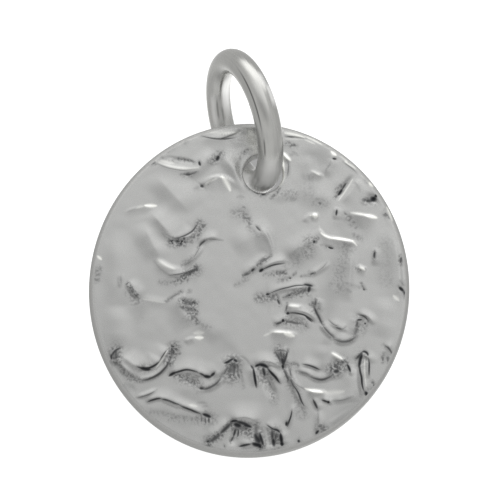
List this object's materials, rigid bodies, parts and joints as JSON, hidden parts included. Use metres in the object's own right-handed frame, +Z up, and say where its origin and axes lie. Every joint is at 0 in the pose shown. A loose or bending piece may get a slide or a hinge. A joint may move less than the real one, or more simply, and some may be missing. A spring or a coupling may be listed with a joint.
{
  "type": "coin charm on a jump ring",
  "caption": "Round hammered silver disc charm with a drilled hole and a round wire jump ring, lying on a surface.",
  "frame": {"origin": "on the surface that the charm lies on, under the middle of its box", "axes": "+Z up from that surface, +Y along the disc from its middle towards its hole and ring, +X to the right of the hammered face"},
  "size_m": [0.0172, 0.0218, 0.008],
  "materials": {
    "hammered_silver": "silver with a hammered, lightly brushed face, dark in its creases, and a smooth rim and back",
    "polished_wire": "satin silver wire with fine draw lines and one dark line along its near limb"
  },
  "bodies": {
    "root": {"coin_disc": "hammered_silver", "jump_ring": "polished_wire"}
  },
  "joints": []
}
